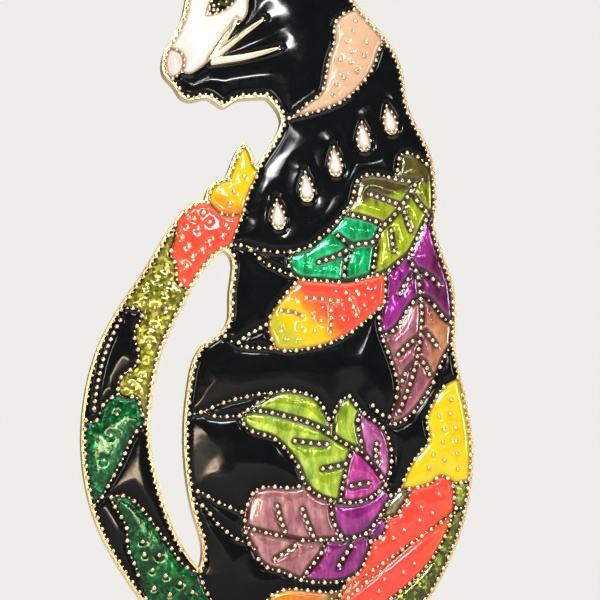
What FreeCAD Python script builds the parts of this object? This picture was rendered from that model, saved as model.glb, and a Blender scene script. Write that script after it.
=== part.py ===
import FreeCAD, Part

import math
import os

from FreeCAD import Vector

# Enamelled cat brooch, upright as worn: +Z up, +X to the viewer's right, the enamelled face
# towards -Y and the pin work on the +Y side.  Millimetres.
# The origin is the middle of the free length of the pin stem, on its axis.

# ---- driving dimensions -------------------------------------------------------------------
CREST_Y = -7.2             # highest point of the domed metal front
ACROSS_RADIUS = 110.0      # dome radius across the brooch
ALONG_RADIUS = 380.0       # dome radius along its height
SHELL = 1.9                # thickness of the casting
ENAMEL_DEPTH = 0.75        # depth of the enamel recesses
ENAMEL_PROUD = 0.16        # height that the poured enamel stands above the cell walls
RIM = 0.34                 # width of the bare metal rim
WALL = 0.22                # width of the cast walls between enamel cells
RIB = 0.56                 # width of the bare whisker ribs

DROP_WIDTH = 1.25          # enamelled width of a teardrop on the bib
DROP_HEIGHT = 2.55         # enamelled height of a teardrop
DROP_TAPER = 1.4           # exponent that sharpens the teardrop's point

PIVOT_Z = 13.0             # hinge rivet of the pin stem
CATCH_Z = -13.0            # middle of the catch
STEM_R = 0.45              # pin wire radius
STEM_TAPER_Z = -11.0       # where the point starts to taper
STEM_TIP_Z = -16.8         # point of the pin
STEM_TIP_R = 0.10
EYE_R = 1.15               # rolled eye of the stem
EYE_HALF = 0.80            # half width of the eye along the rivet
RIVET_R = 0.42
EYE_BORE_R = 0.48          # running fit on the rivet
EAR_INNER = 0.90           # hinge ear inner face, from the middle
EAR_OUTER = 1.50
EAR_TOP_R = 1.15
PAD_THICK = 0.60           # soldered pads under the hinge and the catch
HOUSING_R = 1.75           # catch ring
HOUSING_BORE_R = 1.16
HOUSING_HALF = 0.90        # half length of the catch ring along Z
ROTOR_R = 1.10             # rotating safety sleeve inside the ring
ROTOR_BORE_R = 0.64
ROTOR_FLANGE_R = 1.50
ROTOR_FLANGE = 0.40
ROTOR_GAP = 0.06           # end play of the sleeve
SLOT_HALF = 0.62           # half width of the mouth that the pin enters
TAB_REACH = 2.90           # thumb tab of the sleeve
TAB_ANGLE = 28.0           # where the tab stands when the catch is open

# ---- silhouette, as curves between corners, each a list of (x, z) --------------------------
BROW_TO_CHIN = [(-10.6, 35.0), (-12.2, 33.0), (-13.1, 31.2), (-13.6, 28.8), (-14.4, 26.9),
                (-15.3, 25.3), (-15.7, 23.8), (-15.4, 22.5), (-14.6, 21.6), (-13.7, 20.3),
                (-12.6, 20.0), (-11.5, 20.3), (-10.6, 20.0), (-9.5, 19.35), (-8.6, 19.9),
                (-7.0, 20.3), (-5.2, 20.35)]
THROAT = [(-5.2, 20.35), (-4.3, 19.3), (-3.85, 18.2), (-4.3, 16.6), (-5.3, 15.0), (-6.3, 13.4)]
TAIL_TIP_INNER = [(-6.3, 13.4), (-6.6, 14.3), (-7.0, 15.2), (-7.6, 15.9)]
TAIL_TIP_OUTER = [(-7.6, 15.9), (-8.3, 14.9), (-9.0, 13.2), (-9.4, 12.2)]
TAIL_STEP = [(-9.4, 12.2), (-10.6, 11.7), (-11.2, 10.9), (-11.4, 9.9)]
TAIL_BACK = [(-11.4, 9.9), (-12.5, 9.75), (-13.5, 9.0), (-15.2, 6.7), (-17.0, 3.6),
             (-19.5, -0.2), (-21.9, -4.8), (-23.1, -9.5), (-23.4, -14.5), (-22.9, -18.6),
             (-21.6, -22.8), (-19.2, -27.1), (-16.8, -30.3), (-13.2, -33.0), (-8.4, -34.9),
             (-2.4, -35.6), (3.2, -34.9), (7.6, -32.9), (10.8, -30.0), (13.0, -26.4),
             (14.6, -22.4), (15.5, -18.2), (15.65, -13.8), (14.9, -9.4), (14.2, -6.6),
             (13.75, -3.8)]
BACK_LOW = [(13.75, -3.8), (13.95, -1.0), (13.6, 1.9), (12.6, 4.8), (11.75, 7.7)]
BACK_HIGH = [(11.75, 7.7), (11.95, 9.6), (11.9, 12.6), (11.2, 15.5), (10.0, 17.9),
             (9.1, 19.9), (8.6, 23.2), (7.3, 26.2), (5.4, 28.5), (4.1, 30.0), (2.9, 32.0),
             (2.2, 34.2)]
NEAR_EAR_BACK = [(2.2, 34.2), (1.6, 37.0), (0.5, 39.8)]
NEAR_EAR_FRONT = [(0.5, 39.8), (-2.2, 38.5), (-4.8, 36.0)]
FAR_EAR_BACK = [(-4.8, 36.0), (-5.9, 38.1), (-6.8, 39.2)]
FAR_EAR_FRONT = [(-6.8, 39.2), (-9.0, 37.5), (-10.6, 35.0)]
OUTLINE = [BROW_TO_CHIN, THROAT, TAIL_TIP_INNER, TAIL_TIP_OUTER, TAIL_STEP, TAIL_BACK,
           BACK_LOW, BACK_HIGH, NEAR_EAR_BACK, NEAR_EAR_FRONT, FAR_EAR_BACK, FAR_EAR_FRONT]

# The open gap between the curled tail and the body.
GAP_BODY_SIDE = [(-9.5, 4.9), (-8.8, 4.0), (-8.8, 2.4), (-9.05, 0.0), (-9.2, -2.2),
                 (-10.2, -3.5), (-11.5, -4.4), (-12.4, -5.7), (-13.0, -8.2), (-13.4, -12.2),
                 (-13.1, -17.8), (-12.3, -21.6), (-11.5, -24.6), (-11.8, -26.5)]
GAP_TAIL_SIDE = [(-11.8, -26.5), (-12.9, -25.2), (-14.5, -22.2), (-15.9, -18.0),
                 (-16.7, -13.2), (-16.4, -9.0), (-15.6, -5.2), (-14.2, -2.0), (-12.5, 1.3),
                 (-11.0, 3.6), (-9.5, 4.9)]
GAP = [GAP_BODY_SIDE, GAP_TAIL_SIDE]

# ---- walls between the enamel cells, each a smooth curve of (x, z) -------------------------
WALLS = {
    # head
    "nose": [(-15.5, 25.2), (-14.3, 25.15), (-13.6, 24.6), (-13.5, 23.6), (-13.8, 22.8),
             (-14.6, 22.3), (-15.6, 22.2)],
    "cheek_low": [(-13.7, 22.95), (-12.8, 22.7), (-12.0, 23.2), (-11.1, 24.0), (-10.9, 24.7)],
    "cheek_high": [(-10.9, 24.6), (-9.5, 26.3), (-8.6, 27.5), (-7.6, 28.2), (-7.1, 29.3),
                   (-7.1, 30.8), (-7.7, 32.4), (-9.0, 33.5), (-10.7, 33.9), (-12.0, 33.4)],
    "neck_patch_high": [(4.5, 29.7), (2.6, 29.15), (1.6, 27.9), (1.6, 26.4), (1.1, 24.7),
                        (0.7, 22.7), (0.0, 20.7), (-1.0, 19.95), (-1.9, 19.2), (-2.8, 18.3)],
    "neck_patch_low": [(-2.8, 18.3), (-1.3, 18.7), (0.7, 19.35), (2.6, 20.3), (4.0, 21.6),
                       (5.2, 23.1), (5.9, 24.7), (6.5, 26.1), (7.5, 26.5)],
    "throat": [(-2.7, 18.3), (-4.2, 18.2)],
    # bib and shoulder leaf
    "shoulder_leaf_lobe": [(12.2, 12.6), (11.6, 13.3), (10.7, 14.2), (9.6, 14.9), (8.5, 15.0),
                           (8.0, 14.1), (7.9, 13.2), (7.4, 12.6)],
    "shoulder_leaf_top": [(7.5, 12.6), (6.1, 12.7), (4.8, 12.7), (3.9, 12.2), (3.5, 11.3),
                          (3.2, 10.0), (2.5, 9.0), (1.3, 7.4), (-0.3, 6.0), (-1.1, 5.35),
                          (-2.2, 4.95), (-3.1, 4.3)],
    "shoulder_leaf_bottom": [(-3.1, 4.4), (-3.1, 3.2), (-2.6, 2.4), (-1.9, 2.05), (-0.7, 1.95),
                             (1.0, 1.85), (3.0, 1.85), (5.0, 2.4), (6.7, 2.9), (7.8, 3.8),
                             (9.0, 4.8), (9.8, 6.2), (10.6, 7.9), (11.3, 9.0), (12.2, 9.4)],
    "shoulder_leaf_vein": [(2.2, 8.75), (3.9, 8.45), (5.2, 8.1), (6.2, 7.6), (5.9, 6.9),
                           (5.7, 5.8), (5.5, 4.2), (5.15, 2.2)],
    "bib_hem": [(-1.9, 5.0), (-3.3, 4.75), (-4.6, 4.75), (-5.8, 4.95), (-7.3, 5.3),
                (-9.0, 5.4)],
    "chest_fold": [(-7.2, 5.2), (-6.6, 4.6), (-5.6, 3.7), (-4.5, 3.1), (-3.4, 2.65),
                   (-2.2, 2.2)],
    # tail against the chest
    "tail_on_chest": [(-6.1, 13.7), (-6.35, 12.2), (-7.0, 10.8), (-7.6, 8.8), (-8.3, 6.9),
                      (-8.8, 5.6), (-9.3, 4.6)],
    # middle leaf
    "middle_leaf_left": [(-2.0, 2.1), (-2.8, 1.35), (-3.5, 0.5), (-4.2, -0.4), (-4.8, -1.3),
                         (-5.2, -2.5), (-4.9, -3.8), (-4.4, -4.9)],
    "middle_leaf_bottom": [(-4.5, -4.85), (-3.1, -5.1), (-1.5, -4.9), (0.0, -4.6), (1.6, -4.0),
                           (3.2, -3.1), (4.5, -2.1), (5.6, -1.1), (6.5, -0.2)],
    "haunch_line": [(-10.2, -2.7), (-9.5, -3.6), (-8.3, -4.5), (-6.6, -4.8), (-4.4, -4.85)],
    # side leaf
    "side_leaf_left": [(6.6, 2.9), (6.6, 1.0), (6.4, -0.3), (6.0, -1.3), (6.2, -3.4),
                       (6.8, -5.0), (7.5, -6.9), (7.8, -9.0), (7.3, -10.8), (7.1, -12.3)],
    "side_leaf_right": [(7.1, -12.3), (8.7, -11.7), (10.2, -10.1), (11.4, -8.2), (12.3, -6.2),
                        (13.0, -4.8), (14.0, -3.9)],
    "side_leaf_vein_left": [(6.1, -3.4), (7.8, -2.5), (9.2, -0.3), (10.2, 0.5)],
    "side_leaf_vein_right": [(10.1, 0.5), (11.2, 0.1), (12.4, -1.3), (14.2, -2.0)],
    # haunch leaf
    "row_above_leg": [(-13.7, -11.2), (-11.5, -11.1), (-10.4, -10.6), (-9.4, -10.2),
                      (-7.1, -9.6), (-5.5, -9.3), (-4.6, -9.3)],
    "row_to_leaf_tip": [(-11.5, -11.1), (-10.3, -11.6), (-9.0, -11.6), (-7.6, -11.5)],
    "haunch_leaf_top": [(-7.7, -11.5), (-7.0, -10.8), (-5.8, -10.0), (-4.7, -9.3),
                        (-3.7, -9.0), (-2.4, -9.1), (-1.1, -9.4), (-0.2, -9.9), (0.4, -10.8),
                        (0.9, -11.9), (1.2, -13.4)],
    "haunch_leaf_lobe": [(1.2, -13.4), (1.3, -11.8), (1.6, -10.7), (2.2, -9.9), (3.0, -9.4)],
    "haunch_leaf_side": [(3.0, -9.4), (3.6, -10.3), (4.3, -11.1), (5.2, -11.7), (6.2, -12.4),
                         (6.8, -13.4), (7.2, -14.8), (7.2, -16.2), (7.0, -17.3), (6.6, -18.3)],
    "haunch_leaf_bottom": [(6.6, -18.1), (6.0, -18.9), (5.0, -19.6), (3.6, -20.0),
                           (2.0, -20.0), (0.4, -19.6), (-0.8, -18.9), (-1.6, -17.9),
                           (-2.1, -16.6), (-2.9, -15.4), (-3.9, -14.3), (-4.9, -13.6),
                           (-6.4, -13.2), (-7.4, -12.6), (-7.7, -11.4)],
    "haunch_leaf_midrib": [(-7.7, -11.3), (-5.6, -11.1), (-3.3, -11.6), (-1.1, -12.2),
                           (0.6, -13.0), (2.3, -14.1), (3.9, -14.9), (5.5, -16.5),
                           (6.7, -18.2)],
    "haunch_leaf_vein_high": [(4.2, -10.9), (3.8, -11.9), (3.9, -13.1), (4.3, -15.2)],
    "haunch_leaf_vein_low": [(3.3, -14.5), (2.9, -15.8), (2.6, -17.0), (2.3, -18.4),
                             (2.1, -20.1)],
    # low leaf
    "low_leaf_left": [(-1.5, -18.1), (-2.9, -18.6), (-4.4, -18.5), (-5.7, -18.6),
                      (-6.5, -19.0), (-7.0, -19.9), (-7.3, -21.1), (-7.4, -22.5),
                      (-7.1, -23.6), (-6.5, -24.7), (-5.9, -25.8), (-5.0, -26.5),
                      (-3.8, -26.8), (-2.7, -27.3), (-1.3, -27.75), (0.7, -27.9),
                      (2.4, -27.75), (3.5, -27.3), (4.3, -26.5), (4.8, -25.4), (5.2, -24.4),
                      (5.1, -23.6), (4.7, -23.0)],
    "low_leaf_right": [(8.4, -18.4), (7.7, -19.1), (6.9, -20.0), (6.1, -21.3), (5.4, -22.3),
                       (4.7, -23.1)],
    "low_leaf_tip": [(6.6, -18.2), (7.0, -18.9), (7.3, -19.6)],
    "low_leaf_midrib": [(-7.5, -22.4), (-5.4, -23.0), (-3.1, -23.5), (-1.3, -23.8),
                        (0.3, -23.7), (2.6, -23.6), (4.8, -23.0)],
    "low_leaf_vein_high": [(1.2, -19.8), (1.2, -21.0), (1.5, -22.2), (2.1, -23.2),
                           (2.4, -23.8)],
    "low_leaf_vein_low": [(0.5, -23.6), (0.4, -24.6), (-0.3, -25.7), (-1.1, -26.7),
                          (-1.6, -27.8)],
    # leg
    "leg_fold_high": [(-13.6, -19.3), (-11.4, -19.2), (-10.1, -20.0), (-9.1, -20.4),
                      (-8.1, -20.9), (-7.2, -21.0)],
    "leg_fold_low": [(-13.0, -20.2), (-10.9, -21.0), (-10.3, -21.9), (-9.3, -22.8),
                     (-8.4, -23.5), (-7.3, -24.0), (-6.4, -24.7)],
    # rump
    "rump_top": [(14.9, -7.1), (14.0, -7.6), (13.1, -8.0), (12.1, -9.0), (11.2, -10.6),
                 (10.8, -12.0), (11.1, -13.6), (10.2, -14.9), (9.1, -16.5), (8.3, -18.5)],
    "rump_line": [(8.3, -18.5), (9.4, -18.6), (10.6, -18.3), (11.4, -18.0), (11.9, -17.5),
                  (12.8, -17.4), (13.5, -17.9), (14.6, -17.9), (15.9, -17.7)],
    "rump_green_edge": [(13.4, -17.8), (13.7, -19.5), (13.5, -21.2), (12.7, -23.4),
                        (11.6, -25.3), (10.2, -27.0), (8.5, -28.5), (6.7, -29.9),
                        (4.6, -31.6), (2.2, -33.0), (-0.8, -34.0), (-4.0, -34.5),
                        (-6.4, -34.7), (-8.6, -35.2)],
    "rump_bronze_edge": [(9.0, -18.5), (9.0, -19.5), (8.4, -20.3), (7.8, -21.2), (6.9, -21.5),
                         (5.9, -21.6)],
    "rump_violet_edge": [(6.4, -21.4), (6.8, -22.2), (6.5, -23.0), (5.9, -23.6), (5.0, -23.8)],
    "rump_low": [(3.3, -27.3), (2.6, -28.2), (2.0, -29.3), (1.1, -30.4), (-0.2, -31.4),
                 (-1.8, -32.2), (-3.5, -32.6)],
    "base_line": [(-12.1, -26.0), (-11.6, -27.5), (-10.9, -29.1), (-9.6, -30.6), (-7.5, -31.9),
                  (-5.3, -32.5), (-3.4, -32.6)],
    "petal_top": [(-5.3, -32.6), (-5.6, -31.2), (-5.1, -29.6), (-4.3, -28.9), (-3.2, -28.55),
                  (-1.6, -28.6), (0.2, -28.8), (2.5, -28.6)],
    "base_red_end": [(-6.1, -32.2), (-6.9, -33.4), (-6.3, -34.8)],
    # tail
    "tail_tip_end": [(-11.7, 10.1), (-10.5, 9.1), (-9.7, 8.5), (-8.7, 8.4), (-7.5, 8.5)],
    "tail_red_end": [(-14.6, 8.6), (-14.2, 7.2), (-14.5, 5.6), (-14.8, 4.4), (-14.3, 3.4),
                     (-14.2, 2.0), (-13.7, 1.3), (-12.4, 0.9)],
    "tail_lime_edge": [(-20.2, -0.9), (-19.3, -0.9), (-18.0, -1.1), (-17.6, -1.6),
                       (-18.0, -2.5), (-18.3, -3.9), (-17.9, -5.4), (-18.2, -6.6),
                       (-19.3, -7.4), (-19.9, -8.5), (-19.7, -9.4)],
    "tail_green_top": [(-23.6, -11.6), (-21.8, -11.8), (-21.4, -10.6), (-20.6, -9.8),
                       (-19.7, -9.35)],
    "tail_green_inner": [(-19.8, -9.35), (-19.0, -9.7), (-18.1, -9.7), (-17.7, -10.7),
                         (-17.4, -11.6), (-16.3, -12.0)],
    "tail_diagonal": [(-16.2, -12.0), (-17.9, -12.9), (-18.6, -14.0), (-19.5, -16.1),
                      (-20.6, -18.1), (-21.4, -19.6), (-22.8, -20.6)],
    "tail_leaf_top": [(-20.5, -19.6), (-18.9, -19.5), (-17.6, -20.5), (-16.2, -22.3),
                      (-14.7, -24.3), (-13.5, -26.0), (-11.9, -26.9)],
    "tail_leaf_bottom": [(-20.5, -19.6), (-19.7, -21.1), (-18.9, -22.6), (-18.8, -24.4),
                         (-18.2, -25.9), (-17.6, -27.6), (-16.9, -29.6), (-15.2, -31.2),
                         (-12.8, -31.6), (-10.5, -30.0)],
}

# Bare polished whisker ribs that rise out of the enamel.
RIBS = [
    [(-10.9, 24.1), (-9.6, 26.2), (-8.0, 28.5)],
    [(-10.8, 24.2), (-7.9, 26.6), (-5.4, 28.5)],
    [(-10.9, 23.9), (-7.2, 24.5), (-3.8, 25.5)],
]

# Teardrops on the bib: (x, z) of the middle and the lean of the point to the left, degrees.
DROPS = [
    (7.15, 18.45, 12.0),
    (4.45, 16.65, 6.0),
    (1.55, 14.05, 5.0),
    (-1.35, 11.45, 5.0),
    (-4.2, 8.60, 5.0),
]

EYE_CORNERS = [(-11.3, 28.7), (-7.7, 31.8)]
EYE_BULGE = [-0.85, 1.0]       # bulge of its two lids away from the line between the corners
EYE_INSET = 0.82               # size of the enamelled eye within its lids
IRIS_CENTRE = (-9.45, 30.32)
IRIS_R = 0.62
PUPIL_CORNERS = [(-9.72, 30.70), (-9.18, 29.94)]
PUPIL_BULGE = [-0.20, 0.20]

# Ear linings, each three corners with sides that bow outwards.
EAR_LININGS = [
    [(0.1, 38.2), (1.0, 35.3), (-2.4, 35.9)],
    [(-7.2, 38.2), (-6.2, 36.4), (-8.9, 35.7)],
]
EAR_BOW = 0.22
EAR_FRAME = 1.22               # size of the metal frame around an ear lining

# ---- enamel cells: points that lie inside each cell ----------------------------------------
CELLS = {
    "enamel_face_white": [(-12.4, 26.5)],
    "enamel_nose": [(-14.6, 23.6)],
    "enamel_head_black": [(-3.0, 31.0)],
    "enamel_neck_tan": [(3.6, 25.5)],
    "enamel_neck_black": [(-1.0, 15.5)],
    "enamel_shoulder_leaf_green": [(2.0, 5.0)],
    "enamel_shoulder_leaf_lime": [(8.6, 8.0)],
    "enamel_chest_black": [(-6.8, 0.5), (-4.8, 4.0)],
    "enamel_middle_leaf": [(0.5, -1.2)],
    "enamel_side_leaf_purple": [(8.0, 1.2), (12.2, 2.6)],
    "enamel_side_leaf_mauve": [(9.6, -5.5)],
    "enamel_haunch_black": [(0.0, -6.8), (-9.4, -10.9)],
    "enamel_leg_black": [(-10.2, -15.5), (-9.0, -21.6), (-8.4, -28.0)],
    "enamel_haunch_leaf_lime": [(-2.6, -10.4), (2.6, -12.2), (-0.5, -15.0)],
    "enamel_haunch_leaf_purple": [(5.4, -14.0)],
    "enamel_haunch_leaf_magenta": [(4.2, -17.6)],
    "enamel_low_leaf_mauve": [(-3.2, -21.2), (-3.2, -25.0)],
    "enamel_low_leaf_purple": [(3.8, -21.4), (2.4, -25.6)],
    "enamel_rump_yellow": [(13.0, -13.0)],
    "enamel_rump_red": [(9.4, -23.4)],
    "enamel_rump_green": [(12.6, -25.4)],
    "enamel_rump_bronze": [(8.0, -19.8)],
    "enamel_rump_violet": [(6.0, -22.6)],
    "enamel_base_petal": [(-2.4, -30.4)],
    "enamel_tail_yellow": [(-8.6, 10.8)],
    "enamel_tail_red": [(-11.4, 6.6)],
    "enamel_tail_lime": [(-16.4, 0.8)],
    "enamel_tail_black_upper": [(-20.4, -5.6)],
    "enamel_tail_green": [(-21.2, -14.4)],
    "enamel_tail_black_lower": [(-17.9, -16.6)],
    "enamel_tail_leaf_green": [(-16.4, -26.4)],
}


# ---- curves and flat faces in the XZ plane -------------------------------------------------
def at(point):
    return Vector(point[0], 0, point[1])


def smooth_edge(points):
    """One smooth edge through the points, straight when there are only two."""
    if len(points) == 2:
        return Part.LineSegment(at(points[0]), at(points[1])).toShape()
    curve = Part.BSplineCurve()
    curve.interpolate([at(p) for p in points])
    return curve.toShape()


def closed_face(pieces):
    """Face bounded by smooth edges that meet at corners."""
    return Part.Face(Part.Wire([smooth_edge(points) for points in pieces]))


def strip(points, width):
    """Flat band of even width that follows a smooth curve."""
    edge = smooth_edge(points)
    steps = 3 * (len(points) - 1)
    first, last = edge.ParameterRange
    left = []
    right = []
    for i in range(steps + 1):
        u = first + (last - first) * i / steps
        side = edge.tangentAt(u).cross(Vector(0, 1, 0)) * (width / 2)
        left.append(edge.valueAt(u) + side)
        right.append(edge.valueAt(u) - side)
    right.reverse()
    sides = []
    for line in (left, right):
        curve = Part.BSplineCurve()
        curve.interpolate(line)
        sides.append(curve.toShape())
    caps = [
        Part.LineSegment(left[-1], right[0]).toShape(),
        Part.LineSegment(right[-1], left[0]).toShape(),
    ]
    return Part.Face(Part.Wire([sides[0], caps[0], sides[1], caps[1]]))


def disc(point, radius):
    circle = Part.Circle(at(point), Vector(0, 1, 0), radius)
    return Part.Face(Part.Wire(circle.toShape()))


def lens(corners, bulge):
    """Almond between two corners, from two arcs."""
    a = at(corners[0])
    b = at(corners[1])
    middle = (a + b) * 0.5
    side = (b - a).normalize().cross(Vector(0, 1, 0))
    arcs = [Part.Arc(a, middle + side * height, b).toShape() for height in bulge]
    return Part.Face(Part.Wire(arcs))


def scaled(points, share):
    """The points moved away from their middle, or towards it."""
    middle_x = sum(x for x, z in points) / len(points)
    middle_z = sum(z for x, z in points) / len(points)
    return [
        (middle_x + (x - middle_x) * share, middle_z + (z - middle_z) * share)
        for x, z in points
    ]


def bowed_triangle(corners, bow):
    """Triangle whose sides bow outwards."""
    centre = sum((at(c) for c in corners), Vector(0, 0, 0)) * (1 / 3)
    arcs = []
    for i in range(3):
        a = at(corners[i])
        b = at(corners[(i + 1) % 3])
        middle = (a + b) * 0.5
        outward = (middle - centre).normalize()
        arcs.append(Part.Arc(a, middle + outward * bow, b).toShape())
    return Part.Face(Part.Wire(arcs))


def teardrop(x, z, lean, width, height):
    """Teardrop with its point up, leaning to the left."""
    points = []
    steps = 16
    for i in range(steps + 1):
        t = 2 * math.pi * i / steps
        across = width * 0.65 * math.sin(t) * math.sin(t / 2) ** DROP_TAPER
        points.append(Vector(across, 0, height / 2 * math.cos(t)))
    curve = Part.BSplineCurve()
    curve.interpolate(points)
    face = Part.Face(Part.Wire(curve.toShape()))
    face.rotate(Vector(0, 0, 0), Vector(0, 1, 0), -lean)
    face.translate(Vector(x, 0, z))
    return face


# ---- the domed casting ---------------------------------------------------------------------
def dome_sheet(above, below):
    """Domed sheet between two heights, measured from the metal front."""
    centre = Vector(0, CREST_Y + ACROSS_RADIUS, 0)
    half_angle = math.radians(15)

    def on_arc(radius, share):
        angle = half_angle * share
        return centre + Vector(math.sin(angle), -math.cos(angle), 0) * radius

    def arc(radius, start, end):
        return Part.Arc(on_arc(radius, start), on_arc(radius, 0), on_arc(radius, end)).toShape()

    outer = ACROSS_RADIUS + above
    inner = ACROSS_RADIUS - below
    section = Part.Face(Part.Wire([
        arc(outer, -1, 1),
        Part.LineSegment(on_arc(outer, 1), on_arc(inner, 1)).toShape(),
        arc(inner, 1, -1),
        Part.LineSegment(on_arc(inner, -1), on_arc(outer, -1)).toShape(),
    ]))
    sweep = 14.0
    pivot = Vector(0, CREST_Y + ALONG_RADIUS, 0)
    section.rotate(pivot, Vector(1, 0, 0), -sweep / 2)
    return section.revolve(pivot, Vector(1, 0, 0), sweep)


def raise_face(face):
    """Prism over a flat face, long enough to pass through the whole dome."""
    low = face.copy()
    low.translate(Vector(0, CREST_Y - 2, 0))
    return low.extrude(Vector(0, 12, 0))


def silhouette():
    return closed_face(OUTLINE).cut(closed_face(GAP))


def rim_bands():
    """Bands that keep the enamel away from every outer edge."""
    bands = []
    for piece in OUTLINE + GAP:
        bands.append(strip(piece, 2 * RIM))
        bands.append(disc(piece[0], RIM))
    return bands


def cell_faces():
    """Flat face of every enamel cell, by node name."""
    ribs = [strip(points, RIB) for points in RIBS]
    walls = [strip(points, WALL) for points in WALLS.values()]
    eye_frame = lens(EYE_CORNERS, EYE_BULGE)
    drop_frames = [
        teardrop(x, z, lean, DROP_WIDTH + 2 * WALL, DROP_HEIGHT + 4 * WALL)
        for x, z, lean in DROPS
    ]
    ear_frames = [bowed_triangle(scaled(c, EAR_FRAME), EAR_BOW) for c in EAR_LININGS]
    open_area = silhouette().cut(
        rim_bands() + walls + ribs + [eye_frame] + drop_frames + ear_frames
    )
    faces = {}
    for name, seeds in CELLS.items():
        found = []
        for seed in seeds:
            inside = [f for f in open_area.Faces if f.isInside(at(seed), 1e-4, True)]
            found.append(inside[0])
        faces[name] = found
    pupil = lens(PUPIL_CORNERS, PUPIL_BULGE)
    iris = disc(IRIS_CENTRE, IRIS_R)
    eye = lens(scaled(EYE_CORNERS, EYE_INSET), [b * EYE_INSET for b in EYE_BULGE])
    faces["enamel_eye_iris"] = iris.cut(pupil).Faces
    faces["enamel_eye_black"] = eye.cut(iris).Faces + [pupil]
    faces["enamel_bib_drops"] = [
        teardrop(x, z, lean, DROP_WIDTH, DROP_HEIGHT) for x, z, lean in DROPS
    ]
    faces["enamel_ear_linings"] = [bowed_triangle(corners, EAR_BOW) for corners in EAR_LININGS]
    return faces


def enamel_fills():
    """Solid of enamel for every cell, by node name."""
    layer = dome_sheet(ENAMEL_PROUD, ENAMEL_DEPTH)
    fills = {}
    for name, faces in cell_faces().items():
        pours = []
        for face in faces:
            pours += raise_face(face).common(layer).Solids
        fills[name] = Part.makeCompound(pours)
    return fills


def cast_body(fills):
    """Domed casting with a recess for every pour of enamel."""
    blank = raise_face(silhouette()).common(dome_sheet(0, SHELL))
    return blank.cut(list(fills.values())).Solids[0]


# ---- pin work on the back ------------------------------------------------------------------
def box_between(low, high):
    size = high - low
    return Part.makeBox(size.x, size.y, size.z, low)


def pad(z, half_width, half_height):
    """Soldered pad whose underside follows the domed back."""
    back = CREST_Y + SHELL
    low = Vector(-half_width, back - 0.3, z - half_height)
    high = Vector(half_width, back + PAD_THICK, z + half_height)
    block = box_between(low, high)
    upright = [e for e in block.Edges if abs(e.tangentAt(0).y) > 0.9]
    block = block.makeFillet(0.8, upright)
    return block.cut(dome_sheet(1.0, SHELL))


def hinge_bracket():
    """Pad with two ears that carry the rivet."""
    foot_y = CREST_Y + SHELL + PAD_THICK / 2
    left = Vector(-EAR_OUTER, foot_y, PIVOT_Z - EAR_TOP_R)
    right = Vector(-EAR_OUTER, foot_y, PIVOT_Z + EAR_TOP_R)
    crown_low = Vector(-EAR_OUTER, 0.0, PIVOT_Z - EAR_TOP_R)
    crown_high = Vector(-EAR_OUTER, 0.0, PIVOT_Z + EAR_TOP_R)
    crown = Vector(-EAR_OUTER, EAR_TOP_R, PIVOT_Z)
    profile = Part.Face(Part.Wire([
        Part.LineSegment(left, right).toShape(),
        Part.LineSegment(right, crown_high).toShape(),
        Part.Arc(crown_high, crown, crown_low).toShape(),
        Part.LineSegment(crown_low, left).toShape(),
    ]))
    block = profile.extrude(Vector(2 * EAR_OUTER, 0, 0))
    gap = box_between(
        Vector(-EAR_INNER, CREST_Y + SHELL + PAD_THICK, PIVOT_Z - 4),
        Vector(EAR_INNER, 3, PIVOT_Z + 4),
    )
    hole = Part.makeCylinder(RIVET_R, 4 * EAR_OUTER, Vector(-2 * EAR_OUTER, 0, PIVOT_Z),
                             Vector(1, 0, 0))
    whole = pad(PIVOT_Z, 2.1, 2.7).fuse(block.cut(gap)).cut(hole)
    return whole.removeSplitter().Solids[0]


def hinge_rivet():
    """Rivet through the ears, with a low domed head at each end."""
    shank = Part.makeCylinder(RIVET_R, 2 * EAR_OUTER, Vector(-EAR_OUTER, 0, PIVOT_Z),
                              Vector(1, 0, 0))
    head_r = 0.75
    head_rise = 0.35
    dome_r = (head_r ** 2 + head_rise ** 2) / (2 * head_rise)
    for side in (-1, 1):
        face_x = side * EAR_OUTER
        ball = Part.makeSphere(dome_r, Vector(face_x + side * (head_rise - dome_r), 0, PIVOT_Z))
        keep = box_between(
            Vector(min(face_x, face_x + side), -1, PIVOT_Z - 1),
            Vector(max(face_x, face_x + side), 1, PIVOT_Z + 1),
        )
        shank = shank.fuse(ball.common(keep))
    return shank.removeSplitter().Solids[0]


def pin_stem():
    """Pin wire with a rolled eye at the hinge and a tapered point."""
    eye = Part.makeCylinder(EYE_R, 2 * EYE_HALF, Vector(-EYE_HALF, 0, PIVOT_Z), Vector(1, 0, 0))
    down = Vector(0, 0, -1)
    top_z = PIVOT_Z - 0.6
    wire = Part.makeCylinder(STEM_R, top_z - STEM_TAPER_Z, Vector(0, 0, top_z), down)
    point = Part.makeCone(STEM_R, STEM_TIP_R, STEM_TAPER_Z - STEM_TIP_Z,
                          Vector(0, 0, STEM_TAPER_Z), down)
    end = Part.makeSphere(STEM_TIP_R, Vector(0, 0, STEM_TIP_Z))
    bore = Part.makeCylinder(EYE_BORE_R, 4, Vector(-2, 0, PIVOT_Z), Vector(1, 0, 0))
    return eye.fuse([wire, point, end]).cut(bore).removeSplitter().Solids[0]


def tube(outer_r, inner_r, low_z, high_z):
    length = high_z - low_z
    base = Vector(0, 0, low_z)
    return Part.makeCylinder(outer_r, length, base).cut(
        Part.makeCylinder(inner_r, length, base)
    )


def mouth(low_z, high_z):
    """Slot towards +Y that the pin passes through."""
    return box_between(Vector(-SLOT_HALF, 0, low_z), Vector(SLOT_HALF, 5, high_z))


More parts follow.
